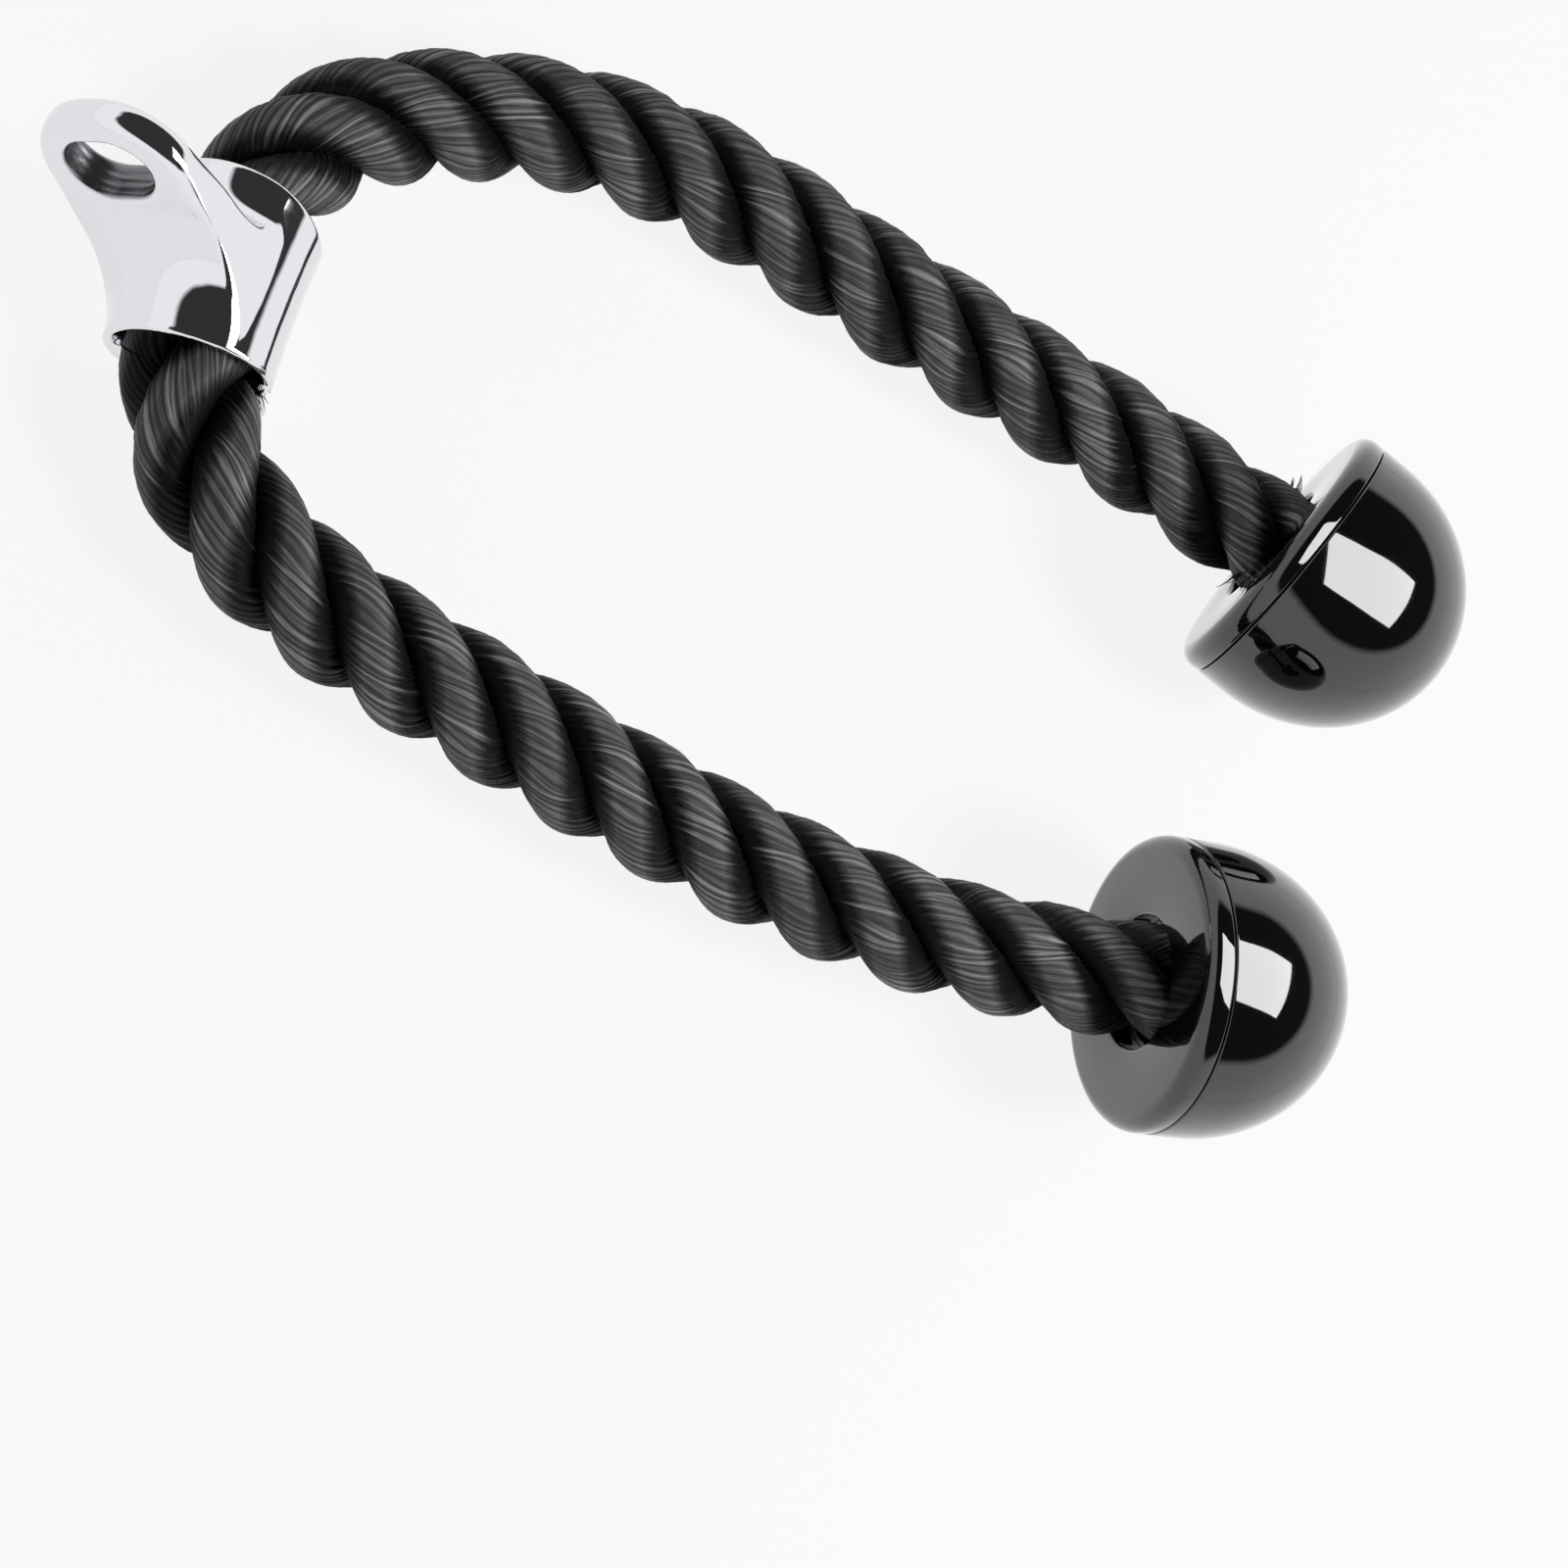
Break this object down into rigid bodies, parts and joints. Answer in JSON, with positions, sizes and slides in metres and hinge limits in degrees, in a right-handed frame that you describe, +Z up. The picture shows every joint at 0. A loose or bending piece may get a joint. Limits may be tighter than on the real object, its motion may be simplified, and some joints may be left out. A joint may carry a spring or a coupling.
{
  "type": "pull-down rope handle",
  "caption": "Three-strand rope bent in a U, with a cast centre clamp whose eye takes a snap hook, and a hollow ball that turns on each rope end.",
  "frame": {"origin": "centre of the part's box, on the surface that the part lies on", "axes": "+X from the clamp towards the balls, +Y towards the longer arm of rope, along the clamp's bore, +Z up from the surface"},
  "size_m": [0.3605, 0.1794, 0.0702],
  "materials": {
    "chrome_clamp": "bright chrome plate over a casting",
    "nylon_rope": "black nylon yarn with a slight sheen",
    "ball_plastic": "high-gloss black moulding",
    "zinc_fittings": "zinc plate, out of sight"
  },
  "bodies": {
    "clamp": {"centre_clamp": "chrome_clamp", "clamp_strand_1": "nylon_rope", "clamp_strand_2": "nylon_rope", "clamp_strand_3": "nylon_rope"},
    "left_bend": {"left_bend_strand_1": "nylon_rope", "left_bend_strand_2": "nylon_rope", "left_bend_strand_3": "nylon_rope"},
    "left_arm": {"left_grip_strand_1": "nylon_rope", "left_grip_strand_2": "nylon_rope", "left_grip_strand_3": "nylon_rope", "left_end_ferrule": "zinc_fittings", "left_end_washer": "zinc_fittings"},
    "left_ball": {"left_ball_plate": "ball_plastic", "left_ball_dome": "ball_plastic"},
    "right_bend": {"right_bend_strand_1": "nylon_rope", "right_bend_strand_2": "nylon_rope", "right_bend_strand_3": "nylon_rope"},
    "right_arm": {"right_grip_strand_1": "nylon_rope", "right_grip_strand_2": "nylon_rope", "right_grip_strand_3": "nylon_rope", "right_end_ferrule": "zinc_fittings", "right_end_washer": "zinc_fittings"},
    "right_ball": {"right_ball_plate": "ball_plastic", "right_ball_dome": "ball_plastic"}
  },
  "joints": [
    {"name": "left_swing", "type": "hinge", "parent": "clamp", "child": "left_bend", "pos_m": [-0.1158, 0.0364, 0.0175], "axis": [0, 0, 1], "range_deg": [-3.5, 50], "deforming": ["left_bend_strand_1", "left_bend_strand_2", "left_bend_strand_3"]},
    {"name": "left_lift", "type": "hinge", "parent": "left_bend", "child": "left_arm", "pos_m": [-0.08694, 0.04925, 0.0175], "axis": [0, -1, 0], "range_deg": [-40, 40]},
    {"name": "left_ball_spin", "type": "hinge", "parent": "left_arm", "child": "left_ball", "pos_m": [0.13271, 0.0582, 0.0313], "axis": [0.8794, -0.3298, 0.3435], "continuous": true},
    {"name": "right_swing", "type": "hinge", "parent": "clamp", "child": "right_bend", "pos_m": [-0.1208, -0.0561, 0.0175], "axis": [0, 0, -1], "range_deg": [-3.5, 50], "deforming": ["right_bend_strand_1", "right_bend_strand_2", "right_bend_strand_3"]},
    {"name": "right_lift", "type": "hinge", "parent": "right_bend", "child": "right_arm", "pos_m": [-0.07436, -0.06815, 0.01766], "axis": [0, -1, 0], "range_deg": [-40, 40]},
    {"name": "right_ball_spin", "type": "hinge", "parent": "right_arm", "child": "right_ball", "pos_m": [0.12841, -0.0574, 0.0329], "axis": [0.9446, 0.261, 0.1992], "continuous": true}
  ]
}
